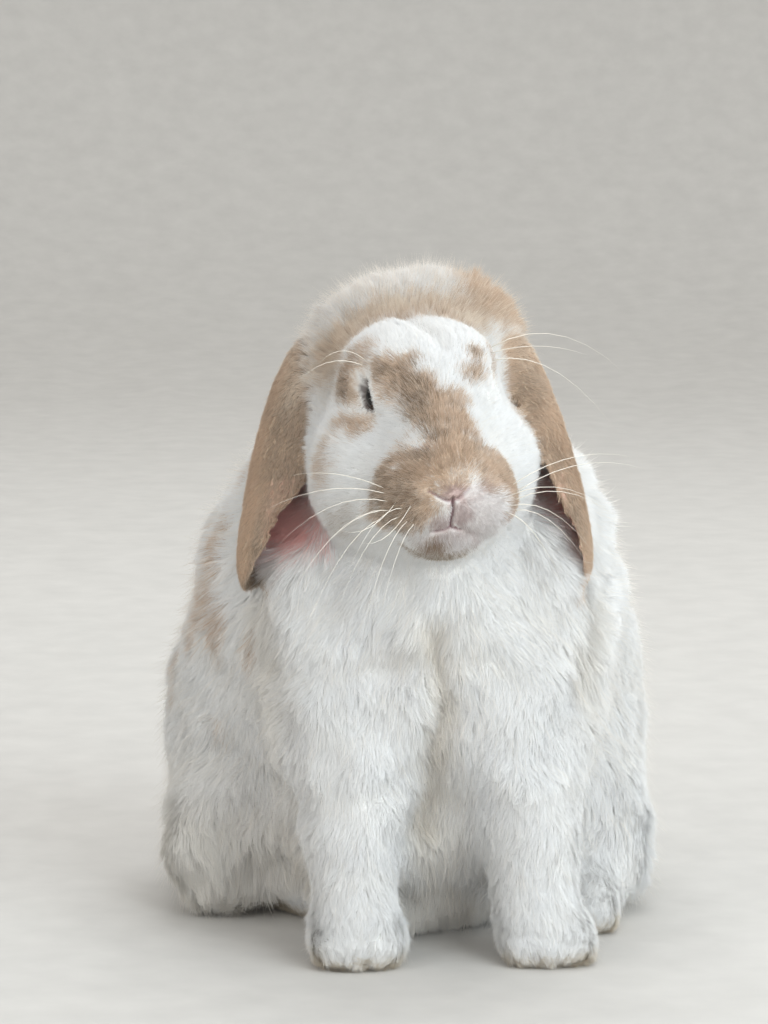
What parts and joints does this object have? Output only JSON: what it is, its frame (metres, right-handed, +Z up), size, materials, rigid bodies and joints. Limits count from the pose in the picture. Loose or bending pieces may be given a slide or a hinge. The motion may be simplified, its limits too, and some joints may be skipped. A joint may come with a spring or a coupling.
{
  "type": "lop rabbit",
  "caption": "Life-size lop-eared rabbit sitting upright on its haunches, forelegs straight, head slightly turned, ears hanging at its cheeks; white coat with tan ears and face patches.",
  "frame": {"origin": "on the ground under the middle of the animal's bounding box", "axes": "+Z up, the rabbit faces -Y, and +X is its own left side"},
  "size_m": [0.2106, 0.2842, 0.269],
  "materials": {
    "white_coat": "soft white fur, matte",
    "head_coat": "short white fur with tan patches, matte",
    "ear_coat": "short tan fur, matte",
    "eye": "wet, very dark brown"
  },
  "bodies": {
    "root": {"head": "head_coat", "neck": "white_coat", "trunk": "white_coat", "tail": "white_coat", "ear_left": "ear_coat", "ear_right": "ear_coat", "eye_left": "eye", "eye_right": "eye", "foreleg_left": "white_coat", "foreleg_right": "white_coat", "forepaw_left": "white_coat", "forepaw_right": "white_coat", "thigh_left": "white_coat", "thigh_right": "white_coat", "hindfoot_left": "white_coat", "hindfoot_right": "white_coat"}
  },
  "joints": []
}
